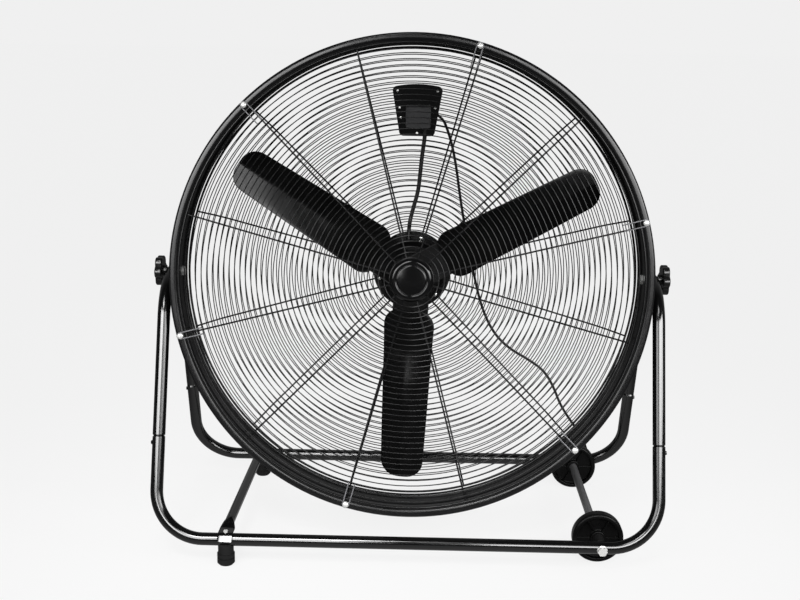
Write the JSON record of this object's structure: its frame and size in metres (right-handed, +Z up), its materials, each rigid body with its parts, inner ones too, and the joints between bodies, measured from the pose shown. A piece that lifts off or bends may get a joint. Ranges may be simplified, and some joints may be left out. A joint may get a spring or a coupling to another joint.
{
  "type": "drum fan on tube stand",
  "caption": "Large tilting drum fan on a black tube stand with two wheels, star tilt knobs, wire grilles and a mains cord.",
  "frame": {"origin": "on the floor, under the middle of the stand", "axes": "+Z up; the fan blows towards -Y; +X is the wheel side"},
  "size_m": [1.0976, 0.71, 1.0705],
  "materials": {
    "black_paint": "gloss black paint",
    "drum_paint": "satin black paint",
    "wire_paint": "satin black powder coat",
    "blade_paint": "satin black paint",
    "plated_steel": "bright zinc plate",
    "steel": "bare",
    "motor_alloy": "black painted casting",
    "black_plastic": "matte moulded",
    "grey_plastic": "matte moulded",
    "cap_plastic": "gloss moulded",
    "foot_rubber": "matte",
    "cord_rubber": "matte jacket"
  },
  "bodies": {
    "stand": {"front_floor_tube": "black_paint", "rear_floor_tube": "black_paint", "left_side_hoop": "black_paint", "right_side_hoop": "black_paint", "joint_screws": "black_paint", "cross_brace": "black_paint", "brace_screws": "plated_steel", "front_foot": "foot_rubber", "rear_foot": "foot_rubber", "axle_bolt": "plated_steel", "axle_nut": "plated_steel", "axle_washers": "plated_steel", "axle_bushes": "black_plastic", "axle_spacer_tube": "black_paint", "mains_cord": "cord_rubber", "cord_coil": "cord_rubber", "plug": "cord_rubber"},
    "front_wheel": {"front_wheel": "black_plastic"},
    "rear_wheel": {"rear_wheel": "black_plastic"},
    "head": {"drum_shell": "drum_paint", "front_grille": "wire_paint", "rear_grille": "wire_paint", "clip_wires": "wire_paint", "clip_screws": "plated_steel", "front_cap": "cap_plastic", "cap_backing_plate": "black_paint", "cap_screw": "plated_steel", "motor_plate": "black_paint", "motor_screws": "plated_steel", "motor_rear_bell": "motor_alloy", "motor_front_bell": "motor_alloy", "motor_bearings": "steel", "motor_stator": "steel", "pivot_bolts": "plated_steel", "pivot_spacers": "black_plastic", "switch_plate": "black_paint", "terminal_box": "grey_plastic", "switch_screws": "plated_steel", "switch_clamp_washers": "plated_steel", "switch_housing": "black_plastic", "cord_gland": "cord_rubber", "motor_lead": "cord_rubber", "lead_grommets": "black_plastic"},
    "rotor": {"rotor_core": "steel", "motor_shaft": "steel", "blade_hub": "black_paint", "blade_1": "blade_paint", "blade_2": "blade_paint", "blade_3": "blade_paint", "blade_rivets": "blade_paint", "shaft_nut": "plated_steel"},
    "left_knob": {"left_tilt_knob": "black_plastic"},
    "right_knob": {"right_tilt_knob": "black_plastic"},
    "speed_knob": {"speed_knob": "black_plastic"}
  },
  "joints": [
    {"name": "head_tilt", "type": "hinge", "parent": "stand", "child": "head", "pos_m": [0, 0, 0.56], "axis": [-1, 0, 0], "range_deg": [-30, 83], "deforming": ["mains_cord"]},
    {"name": "fan_spin", "type": "hinge", "parent": "head", "child": "rotor", "pos_m": [0, 0, 0.56], "axis": [0, -0.9928, 0.1201], "continuous": true},
    {"name": "front_wheel_spin", "type": "hinge", "parent": "stand", "child": "front_wheel", "pos_m": [0.397, -0.194, 0.053], "axis": [0, -1, 0], "continuous": true},
    {"name": "rear_wheel_spin", "type": "hinge", "parent": "stand", "child": "rear_wheel", "pos_m": [0.397, 0.216, 0.053], "axis": [0, -1, 0], "continuous": true},
    {"name": "left_knob_turn", "type": "hinge", "parent": "head", "child": "left_knob", "pos_m": [-0.5415, 0, 0.56], "axis": [-1, 0, 0], "range_deg": [0, 360]},
    {"name": "right_knob_turn", "type": "hinge", "parent": "head", "child": "right_knob", "pos_m": [0.5415, 0, 0.56], "axis": [1, 0, 0], "range_deg": [0, 360]},
    {"name": "speed_knob_turn", "type": "hinge", "parent": "head", "child": "speed_knob", "pos_m": [0.005, 0.18162, 0.90271], "axis": [0, 0.9964, 0.085], "range_deg": [0, 270]}
  ]
}
